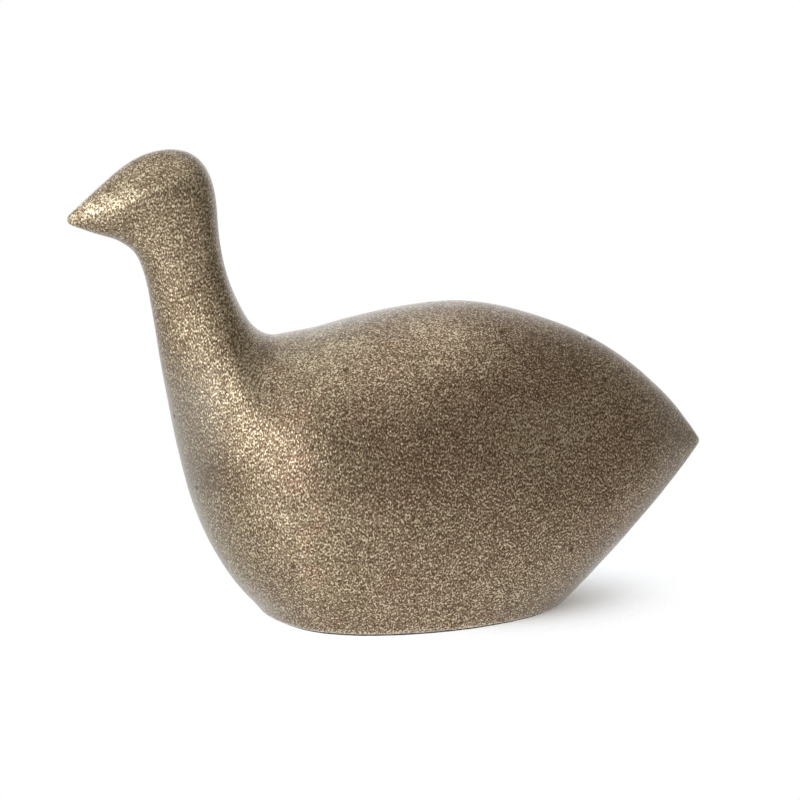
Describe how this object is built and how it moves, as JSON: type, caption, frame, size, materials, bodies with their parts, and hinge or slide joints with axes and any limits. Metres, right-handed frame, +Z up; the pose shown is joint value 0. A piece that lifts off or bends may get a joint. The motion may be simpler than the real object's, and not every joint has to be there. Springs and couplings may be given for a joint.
{
  "type": "bird paperweight",
  "caption": "Solid cast brass bird with a long neck, a pointed beak and tail and a ground flat base on a glued felt pad; stands on a desk and holds papers down.",
  "frame": {"origin": "middle of the base's length, on the underside of the felt pad, which is the surface that the bird stands on", "axes": "+X towards the tail with the bird facing -X, +Y across the body, +Z up; the middle plane is Y = 0"},
  "size_m": [0.1196, 0.0522, 0.0891],
  "materials": {
    "aged_brass": "sand-cast grain with dark patina in the hollows, rubbed bright on the high spots",
    "adhesive_film": "thin clear adhesive film",
    "dark_felt": "dense pressed felt"
  },
  "bodies": {
    "root": {"cast_bird": "aged_brass", "pad_adhesive": "adhesive_film", "felt_pad": "dark_felt"}
  },
  "joints": []
}
